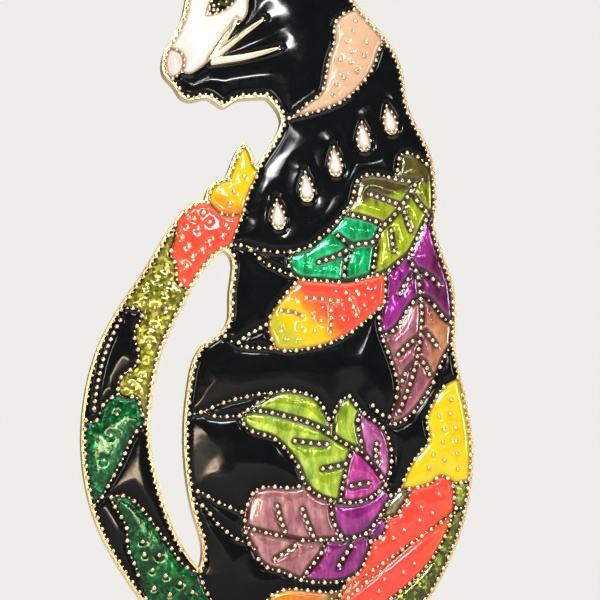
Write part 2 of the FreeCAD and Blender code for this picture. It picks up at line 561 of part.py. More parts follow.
def catch_housing():
    """Ring with a mouth, on a post and a soldered pad."""
    low = CATCH_Z - HOUSING_HALF
    high = CATCH_Z + HOUSING_HALF
    ring = tube(HOUSING_R, HOUSING_BORE_R, low, high)
    post = box_between(
        Vector(-0.85, CREST_Y + SHELL + PAD_THICK / 2, low),
        Vector(0.85, -(HOUSING_R + HOUSING_BORE_R) / 2, high),
    )
    whole = pad(CATCH_Z, 1.9, 2.4).fuse([ring, post]).cut(mouth(low - 1, high + 1))
    return whole.removeSplitter().Solids[0]


def catch_rotor():
    """Rotating safety sleeve: it closes the mouth when its thumb tab is turned."""
    low = CATCH_Z - HOUSING_HALF - ROTOR_GAP
    high = CATCH_Z + HOUSING_HALF + ROTOR_GAP
    sleeve = tube(ROTOR_R, ROTOR_BORE_R, low, high)
    bottom = tube(ROTOR_FLANGE_R, ROTOR_BORE_R, low - ROTOR_FLANGE, low)
    top = tube(ROTOR_FLANGE_R, ROTOR_BORE_R, high, high + ROTOR_FLANGE)
    tab = box_between(
        Vector(ROTOR_FLANGE_R - 0.3, -0.45, high),
        Vector(TAB_REACH, 0.45, high + ROTOR_FLANGE),
    )
    tip_edges = [
        e for e in tab.Edges
        if abs(e.tangentAt(0).z) > 0.9 and e.CenterOfMass.x > TAB_REACH - 0.1
    ]
    tab = tab.makeFillet(0.4, tip_edges)
    tab.rotate(Vector(0, 0, 0), Vector(0, 0, 1), TAB_ANGLE)
    whole = sleeve.fuse([bottom, top, tab]).cut(mouth(low - 1, high + 1))
    return whole.removeSplitter().Solids[0]


def main():
    os.makedirs("parts", exist_ok=True)
    nodes = enamel_fills()
    nodes["cast_body"] = cast_body(nodes)
    nodes["hinge_bracket"] = hinge_bracket()
    nodes["hinge_rivet"] = hinge_rivet()
    nodes["pin_stem"] = pin_stem()
    nodes["catch_housing"] = catch_housing()
    nodes["catch_rotor"] = catch_rotor()
    for name, shape in nodes.items():
        shape.exportStep("parts/" + name + ".step")
        print(name, len(shape.Solids), "solid(s)", round(shape.Volume, 3), "mm3",
              "valid" if shape.isValid() else "NOT VALID")


main()
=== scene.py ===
import math
import random

import bpy
import numpy as np
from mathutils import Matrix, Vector, noise
from mathutils.geometry import delaunay_2d_cdt
from mathutils.kdtree import KDTree


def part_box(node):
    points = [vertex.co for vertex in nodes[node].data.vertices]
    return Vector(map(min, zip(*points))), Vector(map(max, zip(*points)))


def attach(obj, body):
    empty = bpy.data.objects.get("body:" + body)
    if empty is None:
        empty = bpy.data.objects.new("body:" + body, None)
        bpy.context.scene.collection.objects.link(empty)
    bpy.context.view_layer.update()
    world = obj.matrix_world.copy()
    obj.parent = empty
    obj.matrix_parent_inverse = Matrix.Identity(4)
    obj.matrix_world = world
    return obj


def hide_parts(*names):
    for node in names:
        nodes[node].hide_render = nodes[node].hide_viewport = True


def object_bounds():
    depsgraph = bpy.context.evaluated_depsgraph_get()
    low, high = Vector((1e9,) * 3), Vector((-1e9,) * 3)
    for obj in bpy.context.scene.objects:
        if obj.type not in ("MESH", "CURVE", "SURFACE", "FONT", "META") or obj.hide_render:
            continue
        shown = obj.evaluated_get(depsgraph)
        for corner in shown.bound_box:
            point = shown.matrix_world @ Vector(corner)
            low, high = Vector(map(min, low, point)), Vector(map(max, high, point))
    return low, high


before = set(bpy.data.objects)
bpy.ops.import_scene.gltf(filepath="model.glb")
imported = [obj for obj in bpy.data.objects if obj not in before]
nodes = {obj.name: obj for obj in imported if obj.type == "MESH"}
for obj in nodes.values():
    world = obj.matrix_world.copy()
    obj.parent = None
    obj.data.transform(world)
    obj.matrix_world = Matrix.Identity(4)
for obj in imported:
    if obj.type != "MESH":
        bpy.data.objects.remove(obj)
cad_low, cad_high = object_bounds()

# Work is in millimetres until a mesh is made.  (x, z) is a place on the brooch as seen from the
# front, and a height is measured outwards from the domed metal front.
MM = 0.001

# ---- the domed metal front -----------------------------------------------------------------
ACROSS_RADIUS = 110.0
ALONG_RADIUS = 380.0
WALL = 0.22
RIM = 0.34
FILL_DEPTH = 0.70


def solid_front_y():
    """Height of the dome's crest, from the proudest enamel in the frame."""
    return min(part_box(name)[0].y for name in nodes if name.startswith("enamel_")) / MM + 0.16


CREST_Y = solid_front_y()


def front_y(x, z):
    """Depth of the domed metal front: a long arch carried along a wide one."""
    across = CREST_Y + ACROSS_RADIUS - math.sqrt(ACROSS_RADIUS ** 2 - x * x)
    pivot = CREST_Y + ALONG_RADIUS
    return pivot - math.sqrt((pivot - across) ** 2 - z * z)


def place(x, z, height):
    """Point on the front, in metres."""
    return (x * MM, (front_y(x, z) - height) * MM, z * MM)


# ---- outlines read from the frame ----------------------------------------------------------
def boundary_loops(node, facing):
    """Closed outlines of a node's front (facing -1) or back (+1), with its face on their left."""
    mesh = nodes[node].data
    mesh.calc_loop_triangles()
    count = len(mesh.vertices)
    co = np.empty(count * 3)
    mesh.vertices.foreach_get("co", co)
    co = co.reshape(-1, 3) / MM
    tris = np.empty(len(mesh.loop_triangles) * 3, dtype=np.int64)
    mesh.loop_triangles.foreach_get("vertices", tris)
    tris = tris.reshape(-1, 3)
    a, b, c = co[tris[:, 0]], co[tris[:, 1]], co[tris[:, 2]]
    normal = np.cross(b - a, c - a)
    length = np.linalg.norm(normal, axis=1)
    keep = normal[:, 1] * facing > 0.85 * length
    key = np.round(co, 3)
    spots, index = np.unique(key, axis=0, return_inverse=True)
    index = index.reshape(-1)
    tris = index[tris[keep]]
    edges = {}
    for t in tris.tolist():
        for i in range(3):
            start, end = t[i], t[(i + 1) % 3]
            if start == end:
                continue
            if (end, start) in edges:
                del edges[(end, start)]
            else:
                edges[(start, end)] = True
    follow = {}
    for start, end in edges:
        follow.setdefault(start, []).append(end)
    loops = []
    while follow:
        first = next(iter(follow))
        loop = [first]
        here = first
        while True:
            ends = follow[here]
            there = ends.pop()
            if not ends:
                del follow[here]
            if there == first:
                break
            loop.append(there)
            here = there
            if here not in follow:
                break
        if len(loop) > 2:
            loops.append([(spots[i][0], spots[i][2]) for i in loop])
    return [loop for loop in loops if perimeter(loop) > 0.5]


def perimeter(loop):
    return sum(math.dist(loop[i - 1], loop[i]) for i in range(len(loop)))


def resample(points, step, closed):
    """Evenly spaced points along a line, with its sharp corners kept."""
    if closed:
        sharp = [i for i in range(len(points)) if turn_at(points, i) > math.radians(32)]
        if sharp:
            points = points[sharp[0]:] + points[:sharp[0]]
            sharp = [i - sharp[0] for i in sharp]
        else:
            sharp = [0]
        points = points + [points[0]]
        cuts = sharp + [len(points) - 1]
    else:
        cuts = [0, len(points) - 1]
    out = []
    for low, high in zip(cuts, cuts[1:]):
        piece = points[low:high + 1]
        length = [0.0]
        for p, q in zip(piece, piece[1:]):
            length.append(length[-1] + math.dist(p, q))
        if length[-1] < 1e-6:
            continue
        parts = max(1, round(length[-1] / step))
        where = np.linspace(0, length[-1], parts + 1)[:-1]
        xs = np.interp(where, length, [p[0] for p in piece])
        zs = np.interp(where, length, [p[1] for p in piece])
        out += list(zip(xs.tolist(), zs.tolist()))
    if not closed:
        out.append(tuple(points[-1]))
    return out


def turn_at(points, i):
    """Angle that a closed line turns through at one of its points."""
    a, b, c = points[i - 1], points[i], points[(i + 1) % len(points)]
    before = math.atan2(b[1] - a[1], b[0] - a[0])
    after = math.atan2(c[1] - b[1], c[0] - b[0])
    return abs((after - before + math.pi) % (2 * math.pi) - math.pi)


def outward(points):
    """Unit normals of a closed outline that point away from the face on its left."""
    normals = []
    n = len(points)
    for i in range(n):
        a, b = points[i - 1], points[(i + 1) % n]
        dx, dz = b[0] - a[0], b[1] - a[1]
        length = math.hypot(dx, dz) or 1.0
        normals.append((dz / length, -dx / length))
    return normals


def moved(points, normals, amounts):
    """Points shifted along their normals."""
    return [
        (p[0] + n[0] * s, p[1] + n[1] * s)
        for p, n, s in zip(points, normals, amounts)
    ]


def tree_of(points):
    tree = KDTree(len(points))
    for i, p in enumerate(points):
        tree.insert((p[0], p[1], 0), i)
    tree.balance()
    return tree


def nearest(tree, p):
    """Index of the nearest point of a tree, and how far away it is."""
    found = tree.find((p[0], p[1], 0))
    return found[1], found[2]


def spline(points, step=0.1):
    """Smooth line through the points (Catmull-Rom)."""
    if len(points) < 3:
        return resample(points, step, False)
    ends = [
        (2 * points[0][0] - points[1][0], 2 * points[0][1] - points[1][1]),
        (2 * points[-1][0] - points[-2][0], 2 * points[-1][1] - points[-2][1]),
    ]
    p = [ends[0]] + points + [ends[1]]
    out = []
    for i in range(1, len(p) - 2):
        for k in range(8):
            t = k / 8
            out.append(tuple(
                0.5 * (2 * p[i][j] + (p[i + 1][j] - p[i - 1][j]) * t
                       + (2 * p[i - 1][j] - 5 * p[i][j] + 4 * p[i + 1][j] - p[i + 2][j]) * t ** 2
                       + (3 * p[i][j] - p[i - 1][j] - 3 * p[i + 1][j] + p[i + 2][j]) * t ** 3)
                for j in range(2)))
    out.append(tuple(points[-1]))
    return resample(out, step, False)


CELLS = sorted(name for name in nodes if name.startswith("enamel_"))
silhouette = boundary_loops("cast_body", 1)
silhouette = [loop for loop in silhouette if perimeter(loop) > 20]
fine_silhouette = [p for loop in silhouette for p in resample(loop, 0.05, True)]
silhouette_tree = tree_of(fine_silhouette)

STEP = 0.2
outlines = {name: [resample(loop, STEP, True) for loop in boundary_loops(name, -1)]
            for name in CELLS}

# every outline point of every cell, to find the cell on the other side of a wall
owners = []
all_points = []
for name in CELLS:
    for number, loop in enumerate(outlines[name]):
        for p in loop:
            all_points.append(p)
            owners.append((name, number))
all_tree = tree_of(all_points)


def across_wall(p, mine):
    """Name of the cell on the other side of the wall at p, or None."""
    best = None
    for _, index, gap in all_tree.find_range((p[0], p[1], 0), 0.62):
        if owners[index] != mine and (best is None or gap < best[0]):
            best = (gap, owners[index][0])
    return best[1] if best else None


def at_rim(p):
    """Whether the outer rim, and not another cell, is beside p."""
    return nearest(silhouette_tree, p)[1] < RIM + 0.08


# ---- bead rows inside the cells: veins of the leaves ----------------------------------------
VEINS = [
    # shoulder leaf
    [(9.7, 11.8), (8.4, 9.8), (7.3, 8.4), (6.2, 7.3), (5.3, 5.9), (3.6, 5.6), (1.8, 4.5),
     (-0.1, 3.8)],
    [(5.2, 10.7), (6.7, 10.2), (8.3, 9.7)],
    [(7.0, 12.5), (8.5, 12.2), (9.8, 12.1)],
    [(1.8, 6.5), (2.3, 6.1), (3.0, 5.6)],
    [(2.9, 4.8), (2.5, 3.8), (2.4, 2.5)],
    [(7.2, 7.1), (7.3, 6.0), (7.5, 5.1)],
    [(8.6, 9.0), (8.9, 8.0), (9.2, 7.2)],
    [(9.5, 10.8), (10.1, 10.0), (10.8, 9.2)],
    # middle leaf
    [(-1.4, 0.2), (0.2, 0.1), (1.8, -0.1)],
    [(1.0, -0.3), (1.1, -1.7), (1.0, -3.2)],
    [(2.6, 0.8), (3.2, -0.3), (3.6, -1.4)],
    [(-3.9, -1.1), (-2.9, -1.2), (-1.8, -1.6)],
    # side leaf
    [(9.0, 4.4), (9.6, 3.4), (10.0, 2.3), (10.2, 0.4), (10.3, -1.4), (10.1, -4.0), (9.6, -6.5),
     (9.0, -8.5), (8.0, -10.9)],
    [(10.1, 3.2), (11.2, 2.6), (12.1, 1.8)],
    [(9.4, 2.9), (8.6, 1.8), (8.1, 0.8)],
    [(9.9, -3.5), (8.8, -4.4), (7.9, -5.3)],
    [(10.6, -2.9), (11.2, -3.5), (11.8, -4.3)],
    [(9.5, -6.1), (8.8, -6.9), (8.3, -7.9)],
    [(10.0, -5.6), (10.7, -6.3), (11.1, -7.2)],
    # haunch leaf
    [(-2.5, -14.0), (-0.9, -14.2), (0.7, -14.3)],
    [(0.3, -16.7), (1.5, -16.5), (2.6, -16.2)],
    [(5.7, -14.2), (5.6, -15.2), (5.8, -16.0)],
    [(3.2, -18.4), (4.0, -18.2), (4.9, -18.1)],
    # low leaf
    [(-4.2, -20.4), (-3.9, -21.6), (-3.4, -22.9)],
    [(-1.7, -20.7), (-1.2, -22.0), (-0.6, -23.3)],
    [(-2.4, -24.3), (-3.4, -25.0), (-4.4, -25.6)],
    [(3.2, -24.3), (2.6, -25.2), (2.0, -26.2)],
    # loose rows in the black
    [(-8.1, -4.3), (-7.3, -3.6), (-6.4, -3.1), (-5.4, -2.5)],
    [(5.3, -10.4), (6.0, -11.2), (7.0, -11.5)],
    # second row beside the outer edge of the tail
    [(-19.7, -2.1), (-20.6, -3.9), (-21.4, -6.2), (-21.9, -8.6), (-22.2, -10.8)],
]
VEIN_PITCH = 0.72
VEIN_BEAD = 0.25
ROW_PITCH = 1.14
ROW_BEAD = 0.26
BETWEEN_BEAD = 0.14
SMALL_PITCH = 0.60
SMALL_BEAD = 0.19

# walls without beads, as pairs of the cells beside them
BARE = [
    {"enamel_face_white", "enamel_head_black"},
    {"enamel_head_black"},
    {"enamel_eye_iris", "enamel_eye_black"},
    {"enamel_eye_iris"},
]
SMALL = ["enamel_bib_drops", "enamel_nose", "enamel_eye_black", "enamel_ear_linings"]

# cells with loose beads: least spacing, bead radius
SCATTER = {
    "enamel_neck_tan": (1.05, 0.25),
    "enamel_tail_yellow": (1.20, 0.26),
    "enamel_tail_red": (1.05, 0.28),
    "enamel_tail_lime": (1.05, 0.23),
    "enamel_tail_leaf_green": (1.25, 0.27),
    "enamel_middle_leaf": (1.05, 0.20),
    "enamel_rump_yellow": (1.15, 0.22),
    "enamel_rump_red": (1.25, 0.22),
    "enamel_base_petal": (1.50, 0.22),
    "enamel_tail_green": (1.60, 0.22),
}

vein_lines = [spline(points) for points in VEINS]

# ---- the lines that the enamel dips along ---------------------------------------------------
row_points = [p for line in vein_lines for p in line]
row_lines = []
for name in CELLS:
    for number, loop in enumerate(outlines[name]):
        fine = resample(loop, 0.1, True)
        normals = outward(fine)
        rim = [at_rim(p) for p in fine]
        line = moved(fine, normals, [0.01 if r else WALL / 2 for r in rim])
        row_lines.append((name, number, line, rim))
        row_points += line
row_tree = tree_of(row_points)

# ---- beads ----------------------------------------------------------------------------------
beads = []
bead_spots = {}


def crowded(p, gap):
    """Whether a bead is already nearer to p than gap."""
    cx, cz = int(p[0] // 1.0), int(p[1] // 1.0)
    for i in range(cx - 2, cx + 3):
        for j in range(cz - 2, cz + 3):
            for q in bead_spots.get((i, j), ()):
                if math.dist(p, q) < gap:
                    return True
    return False


def add_bead(p, radius, loose=False):
    bead_spots.setdefault((int(p[0] // 1.0), int(p[1] // 1.0)), []).append(p)
    beads.append((p, radius, loose))


def bead_row(line, pitch, radius):
    """Beads at even spacing along an open line, where no other bead is in the way."""
    total = sum(math.dist(a, b) for a, b in zip(line, line[1:]))
    spots = resample(line, total / max(1, round(total / pitch)), False)
    for p in spots:
        if not crowded(p, pitch * 0.78):
            add_bead(p, radius)


for line in vein_lines:
    bead_row(line, VEIN_PITCH, VEIN_BEAD)

for name, number, line, rim in row_lines:
    small = name in SMALL
    pitch, radius = (SMALL_PITCH, SMALL_BEAD) if small else (ROW_PITCH, ROW_BEAD)
    since = pitch
    total = sum(math.dist(line[i - 1], line[i]) for i in range(len(line)))
    even = total / max(1, round(total / pitch))
    for i, p in enumerate(line):
        since += math.dist(line[i - 1], p) if i else 0
        if since < even:
            continue
        if not rim[i]:
            pair = {name, across_wall(p, (name, number)) or name}
            if pair in BARE or (not small and pair & set(SMALL)):
                continue
        if crowded(p, pitch * 0.76):
            continue
        add_bead(p, radius)
        since = 0


# a small bead half way between each two large ones
between = []
bead_tree = tree_of([p for p, radius, loose in beads])
for name, number, line, rim in row_lines:
    if name in SMALL:
        continue
    gaps = [nearest(bead_tree, p)[1] for p in line]
    for i, p in enumerate(line):
        ahead = gaps[(i + 1) % len(line)]
        if not 0.45 < gaps[i] < 0.80 or gaps[i] < gaps[i - 1] or gaps[i] <= ahead:
            continue
        if all(math.dist(p, q) > 0.40 for q in between):
            between.append(p)


def inside(points, loops):
    """Even-odd test of many points against closed loops."""
    pts = np.array(points)
    odd = np.zeros(len(pts), dtype=bool)
    for loop in loops:
        a = np.array(loop)
        b = np.roll(a, -1, axis=0)
        for (x0, z0), (x1, z1) in zip(a, b):
            if z0 == z1:
                continue
            crosses = (pts[:, 1] >= min(z0, z1)) & (pts[:, 1] < max(z0, z1))
            x_at = x0 + (pts[:, 1] - z0) * (x1 - x0) / (z1 - z0)
            odd ^= crosses & (pts[:, 0] < x_at)
    return odd


# ---- loose beads in the cells, each in a dimple of its own -----------------------------------
EYE_BEADS = [(-10.95, 28.85), (-10.55, 29.25), (-10.95, 29.35), (-10.45, 28.80), (-10.15, 29.30),
             (-10.55, 29.70)]
random.seed(7)
loose_points = []
for name, (gap, radius) in SCATTER.items():
    loops = outlines[name]
    xs = [p[0] for loop in loops for p in loop]
    zs = [p[1] for loop in loops for p in loop]
    tries = [(random.uniform(min(xs), max(xs)), random.uniform(min(zs), max(zs)))
             for _ in range(2500)]
    for p, ok in zip(tries, inside(tries, loops)):
        if ok and nearest(row_tree, p)[1] > 0.60 and not crowded(p, gap):
            add_bead(p, radius * random.uniform(0.85, 1.1), True)
            loose_points.append(p)
for p in EYE_BEADS:
    add_bead(p, SMALL_BEAD, True)
for p in between:
    add_bead(p, BETWEEN_BEAD)
loose_tree = tree_of(loose_points)


# ---- enamel surfaces ------------------------------------------------------------------------
GROOVE_FLAT = 0.16
GROOVE_WIDE = 0.50
GROOVE_HEIGHT = 0.02
SHOULDER_HEIGHT = 0.20
PILLOW = 0.22
PILLOW_WIDE = 1.6
RIM_COVER = 0.09
POUR_GAP = 0.004
RING_DEPTHS = (0.15, 0.32, 0.52)
BESIDE_VEIN = (0.0, 0.2, -0.2, 0.42, -0.42)
FIELD_PITCH = 0.24
DIMPLE = 0.11
DIMPLE_WIDE = 0.38


def enamel_height(x, z):
    """Height of the enamel, and how far the place is out of a groove, 0 to 1."""
    gap = nearest(row_tree, (x, z))[1]
    t = min(1.0, max(0.0, (gap - GROOVE_FLAT) / (GROOVE_WIDE - GROOVE_FLAT)))
    shoulder = math.sqrt(1 - (1 - t) ** 2)
    pillow = 1 - math.exp(-max(0.0, gap - GROOVE_FLAT) / PILLOW_WIDE)
    wave = noise.noise(Vector((x * 0.28, z * 0.28, 3.1))) * 0.11 * pillow
    height = GROOVE_HEIGHT + (SHOULDER_HEIGHT - GROOVE_HEIGHT) * shoulder + PILLOW * pillow + wave
    loose = nearest(loose_tree, (x, z))[1]
    height -= DIMPLE * math.exp(-(loose / DIMPLE_WIDE) ** 2)
    return height, min(t, loose / DIMPLE_WIDE)


def triangulate(points, loops_index, loops):
    """Triangles between the points that lie inside the loops."""
    edges = []
    for ring in loops_index:
        edges += [(ring[i - 1], ring[i]) for i in range(len(ring))]
    verts, _, faces, origin, _, _ = delaunay_2d_cdt(
        [Vector(p) for p in points], edges, [], 0, 1e-5)
    index = [o[0] if o else None for o in origin]
    middles = [
        (sum(verts[i].x for i in f) / 3, sum(verts[i].y for i in f) / 3) for f in faces
    ]
    keep = inside(middles, loops)
    out = []
    for f, k in zip(faces, keep):
        if k and all(index[i] is not None for i in f):
            tri = [index[i] for i in f]
            area = ((verts[f[1]].x - verts[f[0]].x) * (verts[f[2]].y - verts[f[0]].y)
                    - (verts[f[1]].y - verts[f[0]].y) * (verts[f[2]].x - verts[f[0]].x))
            out.append(tri if area > 0 else tri[::-1])
    return out


def make_object(name, verts, faces):
    """Smooth shaded mesh object of its own, in the scene."""
    mesh = bpy.data.meshes.new(name)
    mesh.from_pydata(verts, [], faces)
    mesh.validate()
    mesh.polygons.foreach_set("use_smooth", [True] * len(mesh.polygons))
    obj = bpy.data.objects.new(name, mesh)
    bpy.context.scene.collection.objects.link(obj)
    return obj


def fill_mesh(name):
    """Poured enamel of one node: a domed top that dips along every bead row, sides and a base."""
    loops = outlines[name]
    normals = [outward(loop) for loop in loops]
    grow = [[RIM_COVER if at_rim(p) else WALL / 2 - POUR_GAP for p in loop] for loop in loops]
    wide = [moved(l, n, g) for l, n, g in zip(loops, normals, grow)]
    points, rings = [], []
    for loop in wide:
        rings.append(list(range(len(points), len(points) + len(loop))))
        points += loop
    edge_tree = tree_of([p for loop in wide for p in resample(loop, 0.05, True)])
    extra = []
    taken = {}

    def try_point(p, gap, edge_gap):
        if nearest(edge_tree, p)[1] < edge_gap:
            return
        cell = (int(p[0] // 0.2), int(p[1] // 0.2))
        for i in (-1, 0, 1):
            for j in (-1, 0, 1):
                for q in taken.get((cell[0] + i, cell[1] + j), ()):
                    if math.dist(p, q) < gap:
                        return
        taken.setdefault(cell, []).append(p)
        extra.append(p)

    xs = [p[0] for loop in wide for p in loop]
    zs = [p[1] for loop in wide for p in loop]
    low, high = (min(xs), min(zs)), (max(xs), max(zs))
    for depth in RING_DEPTHS:
        for loop, n in zip(wide, normals):
            for p in moved(loop, n, [-depth] * len(loop)):
                try_point(p, 0.12, depth * 0.93)
    for line in vein_lines:
        spots = resample(line, STEP, False)
        side = outward(spots)
        for depth in BESIDE_VEIN:
            for p in moved(spots, side, [depth] * len(spots)):
                if low[0] < p[0] < high[0] and low[1] < p[1] < high[1]:
                    try_point(p, 0.12, 0.12)
    row = 0
    z = low[1]
    while z < high[1]:
        x = low[0] + (FIELD_PITCH / 2 if row % 2 else 0)
        while x < high[0]:
            try_point((x, z), 0.15, 0.30)
            x += FIELD_PITCH
        z += FIELD_PITCH * 0.866
        row += 1
    if extra:
        extra = [p for p, k in zip(extra, inside(extra, wide)) if k]
    points += extra
    top = triangulate(points, rings, wide)
    verts, groove = [], []
    for x, z in points:
        height, share = enamel_height(x, z)
        verts.append(place(x, z, height))
        groove.append(share)
    faces = list(top)
    flat = [p for loop in loops for p in loop]
    lip = len(verts)
    verts += [place(x, z, 0.0) for x, z in flat]
    base = len(verts)
    verts += [place(x, z, -FILL_DEPTH) for x, z in flat]
    for ring in rings:
        for i in range(len(ring)):
            a, b = ring[i - 1], ring[i]
            faces.append((a, lip + a, lip + b, b))
            faces.append((lip + a, base + a, base + b, lip + b))
    bottom = triangulate(flat, rings, loops)
    faces += [(base + t[2], base + t[1], base + t[0]) for t in bottom]
    obj = make_object(name + "_fill", verts, faces)
    groove += [0.0] * (len(verts) - len(groove))
    # clear_of_row tells how far each point is from a groove; the enamel materials paint shade into
    # the grooves from it.
    layer = obj.data.attributes.new("clear_of_row", "FLOAT", "POINT")
    layer.data.foreach_set("value", groove)
    return obj


# ---- materials ------------------------------------------------------------------------------
def new_material(name):
    """Empty principled material: itself, its node tree and its shader."""
    material = bpy.data.materials.new(name)
    material.use_nodes = True
    tree = material.node_tree
    tree.nodes.clear()
    out = tree.nodes.new("ShaderNodeOutputMaterial")
    shader = tree.nodes.new("ShaderNodeBsdfPrincipled")
    tree.links.new(shader.outputs[0], out.inputs[0])
    return material, tree, shader


def coordinates(tree, scale):
    """Object coordinates in millimetres, times scale."""
    where = tree.nodes.new("ShaderNodeTexCoord")
    times = tree.nodes.new("ShaderNodeVectorMath")
    times.operation = "SCALE"
    times.inputs["Scale"].default_value = scale / MM
    tree.links.new(where.outputs["Object"], times.inputs[0])
    return times.outputs[0]


def stretched(tree, scale):
    """Object coordinates in millimetres with their own scale along each axis."""
    where = tree.nodes.new("ShaderNodeTexCoord")
    times = tree.nodes.new("ShaderNodeVectorMath")
    times.operation = "MULTIPLY"
    times.inputs[1].default_value = [s / MM for s in scale]
    tree.links.new(where.outputs["Object"], times.inputs[0])
    return times.outputs[0]


def noise_node(tree, vector, detail=3.0, rough=0.5):
    n = tree.nodes.new("ShaderNodeTexNoise")
    n.inputs["Scale"].default_value = 1.0
    n.inputs["Detail"].default_value = detail
    n.inputs["Roughness"].default_value = rough
    tree.links.new(vector, n.inputs["Vector"])
    return n.outputs["Fac"]


def spread(tree, value, low, high, to_low, to_high):
    """Value taken from one range to another, clamped."""
    n = tree.nodes.new("ShaderNodeMapRange")
    n.clamp = True
    for key, v in (("From Min", low), ("From Max", high), ("To Min", to_low), ("To Max", to_high)):
        n.inputs[key].default_value = v
    tree.links.new(value, n.inputs["Value"])
    return n.outputs["Result"]


def mix_colour(tree, share, a, b, mode="MIX"):
    n = tree.nodes.new("ShaderNodeMix")
    n.data_type = "RGBA"
    n.blend_type = mode
    for key, v in ((0, share), (6, a), (7, b)):
        if hasattr(v, "links") or isinstance(v, bpy.types.NodeSocket):
            tree.links.new(v, n.inputs[key])
        elif key == 0:
            n.inputs[0].default_value = v
        else:
            n.inputs[key].default_value = (*v, 1.0)
    return n.outputs[2]


def bump(tree, height, strength, distance, normal=None):
    n = tree.nodes.new("ShaderNodeBump")
    n.inputs["Strength"].default_value = strength
    n.inputs["Distance"].default_value = distance * MM
    tree.links.new(height, n.inputs["Height"])
    if normal is not None:
        tree.links.new(normal, n.inputs["Normal"])
    return n.outputs["Normal"]


def gradient(tree, stops, direction):
    """Colour ramp along a direction in (x, z), with its edge broken up by noise."""
    where = tree.nodes.new("ShaderNodeTexCoord")
    dot = tree.nodes.new("ShaderNodeVectorMath")
    dot.operation = "DOT_PRODUCT"
    dot.inputs[1].default_value = (direction[0] / MM, 0, direction[1] / MM)
    tree.links.new(where.outputs["Object"], dot.inputs[0])
    wobble = spread(tree, noise_node(tree, coordinates(tree, 0.55)), 0.25, 0.75, -1.0, 1.0)
    add = tree.nodes.new("ShaderNodeMath")
    add.operation = "ADD"
    tree.links.new(dot.outputs["Value"], add.inputs[0])
    tree.links.new(wobble, add.inputs[1])
    low, high = stops[0][0], stops[-1][0]
    share = spread(tree, add.outputs[0], low, high, 0.0, 1.0)
    ramp = tree.nodes.new("ShaderNodeValToRGB")
    items = ramp.color_ramp.elements
    while len(items) < len(stops):
        items.new(0.5)
    # every place first: the ramp keeps its stops sorted
    for item, stop in zip(items, stops):
        item.position = (stop[0] - low) / (high - low)
    for item, stop in zip(items, stops):
        item.color = (*stop[1], 1.0)
    tree.links.new(share, ramp.inputs[0])
    return ramp.outputs[0]


FLAKE = (0.5, 0.55, 0.06)


def enamel(name, dark_and_groove_shade, colour=None, glitter=0.0, sparkle=(1.0, 0.9, 0.5), foil=0.0, light=None,
           stops=None, direction=(1, 0), gloss=0.5, outline=(0.0, 0.45), coat=0.5):
    """Glossy poured enamel over brushed foil or glitter where it has it; the grooves along its bead
    rows are darker with painted shade, and the foil's bright streaks are partly painted sheen.
    """
    material, tree, shader = new_material(name)
    if stops:
        base = gradient(tree, stops, direction)
    else:
        cloud = spread(tree, noise_node(tree, coordinates(tree, 0.45), 4.0), 0.32, 0.68, 0.0, 1.0)
        base = mix_colour(tree, cloud, colour, light or colour)
    normal = None
    if foil:
        # Foil streaks: a random streak pattern of the foil under the enamel, with its bright
        # sparkle tone partly painted sheen.
        streaks = noise_node(tree, stretched(tree, (1.5, 1.0, 0.5)), 4.0, 0.6)
        streak_sheen = spread(tree, streaks, 0.48, 0.72, 0.0, foil)
        if sparkle:
            base = mix_colour(tree, streak_sheen, base, sparkle)
        else:
            base = mix_colour(tree, streak_sheen, base, base, "SCREEN")
        deep = spread(tree, streaks, 0.28, 0.46, foil, 0.0)
        base = mix_colour(tree, deep, base, dark_and_groove_shade)
        normal = bump(tree, streaks, 0.45, 0.12)
        shader.inputs["Metallic"].default_value = 0.35
    if glitter:
        cells = tree.nodes.new("ShaderNodeTexVoronoi")
        cells.inputs["Scale"].default_value = 1.0
        tree.links.new(coordinates(tree, 3.6), cells.inputs["Vector"])
        split = tree.nodes.new("ShaderNodeSeparateColor")
        tree.links.new(cells.outputs["Color"], split.inputs[0])
        flakes = spread(tree, split.outputs[0], 1.0 - glitter, 1.0, 0.0, 1.0)
        base = mix_colour(tree, flakes, base, sparkle or FLAKE)
        shade = spread(tree, split.outputs[1], 0.25, 1.0, 0.0, 0.8)
        base = mix_colour(tree, shade, base, dark_and_groove_shade)
        normal = bump(tree, split.outputs[2], 0.5, 0.08, normal)
        shader.inputs["Metallic"].default_value = 0.35
    # Painted shade in the grooves: the dark colour is mixed in where clear_of_row is low, beside
    # bead rows, walls and loose-bead dimples, fading out over the outline range.
    clear = tree.nodes.new("ShaderNodeAttribute")
    clear.attribute_name = "clear_of_row"
    depth = spread(tree, clear.outputs["Fac"], *outline, 0.0, 1.0)
    base = mix_colour(tree, depth, dark_and_groove_shade, base)
    tree.links.new(base, shader.inputs["Base Color"])
    scuffs = noise_node(tree, coordinates(tree, 1.6), 6.0, 0.6)
    rough = spread(tree, scuffs, 0.3, 0.8, 0.05, 0.14)
    tree.links.new(rough, shader.inputs["Roughness"])
    shader.inputs["Specular IOR Level"].default_value = gloss
    shader.inputs["Coat Weight"].default_value = coat if foil or glitter else 0.0
    shader.inputs["Coat Roughness"].default_value = 0.04
    if normal is None:
        normal = bump(tree, noise_node(tree, coordinates(tree, 0.4), 1.0), 0.2, 0.08)
    tree.links.new(normal, shader.inputs["Normal"])
    return material


